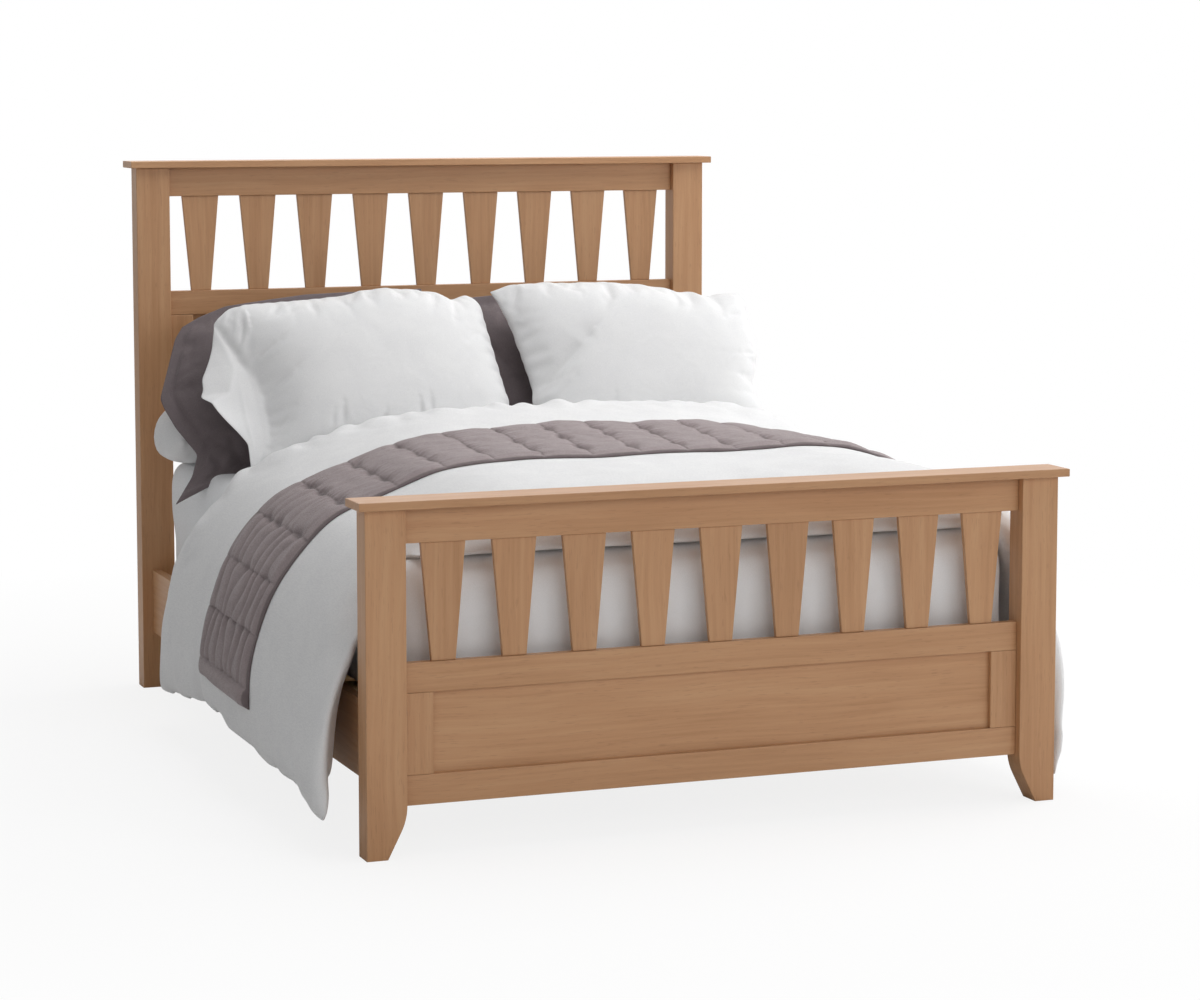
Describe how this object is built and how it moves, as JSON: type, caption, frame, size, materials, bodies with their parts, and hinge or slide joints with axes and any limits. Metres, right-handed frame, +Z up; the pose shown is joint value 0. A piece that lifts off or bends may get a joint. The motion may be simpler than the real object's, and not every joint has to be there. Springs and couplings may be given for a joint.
{
  "type": "slatted bed",
  "caption": "Wooden double bed with tapered-slat headboard and footboard over flat panels, side rails and slat base, dressed with mattress, duvet, quilted runner and pillows.",
  "frame": {"origin": "centre of the overall box on the floor: midway between the end boards and between the posts", "axes": "+X to the right as seen from the foot, +Y from the foot to the head, +Z up"},
  "size_m": [1.8414, 2.18, 1.426],
  "materials": {
    "frame_wood": "mid brown satin lacquer over fine straight grain",
    "base_timber": "planed softwood, unfinished",
    "bracket_steel": "zinc plated",
    "mattress_cover": "stretched white jersey",
    "white_cotton": "plain woven white cotton",
    "quilted_runner": "mauve grey cotton, channel quilted",
    "grey_linen": "dark mauve grey woven cotton"
  },
  "bodies": {
    "root": {"footboard_post_left": "frame_wood", "footboard_post_right": "frame_wood", "footboard_cap": "frame_wood", "footboard_top_rail": "frame_wood", "footboard_mid_rail": "frame_wood", "footboard_bottom_rail": "frame_wood", "footboard_slat_1": "frame_wood", "footboard_slat_2": "frame_wood", "footboard_slat_3": "frame_wood", "footboard_slat_4": "frame_wood", "footboard_slat_5": "frame_wood", "footboard_slat_6": "frame_wood", "footboard_slat_7": "frame_wood", "footboard_slat_8": "frame_wood", "footboard_slat_9": "frame_wood", "footboard_panel_stile_left": "frame_wood", "footboard_panel_stile_right": "frame_wood", "footboard_panel": "frame_wood", "footboard_cross_rail": "base_timber", "headboard_post_left": "frame_wood", "headboard_post_right": "frame_wood", "headboard_cap": "frame_wood", "headboard_top_rail": "frame_wood", "headboard_mid_rail": "frame_wood", "headboard_bottom_rail": "frame_wood", "headboard_slat_1": "frame_wood", "headboard_slat_2": "frame_wood", "headboard_slat_3": "frame_wood", "headboard_slat_4": "frame_wood", "headboard_slat_5": "frame_wood", "headboard_slat_6": "frame_wood", "headboard_slat_7": "frame_wood", "headboard_slat_8": "frame_wood", "headboard_slat_9": "frame_wood", "headboard_panel_stile_left": "frame_wood", "headboard_panel_stile_right": "frame_wood", "headboard_panel": "frame_wood", "headboard_cross_rail": "base_timber", "side_rail_left": "frame_wood", "side_rail_right": "frame_wood", "side_ledge_left": "base_timber", "side_ledge_right": "base_timber", "rail_bracket_foot_left": "bracket_steel", "rail_bracket_foot_right": "bracket_steel", "rail_bracket_head_left": "bracket_steel", "rail_bracket_head_right": "bracket_steel", "centre_rail": "base_timber", "centre_leg_foot": "base_timber", "centre_leg_head": "base_timber", "slat_base": "base_timber", "mattress": "mattress_cover", "duvet": "white_cotton", "runner": "quilted_runner", "pillow_back_left": "white_cotton", "pillow_back_right": "white_cotton", "pillow_grey_left": "grey_linen", "pillow_grey_right": "grey_linen", "pillow_front_left": "white_cotton", "pillow_front_right": "white_cotton"}
  },
  "joints": []
}
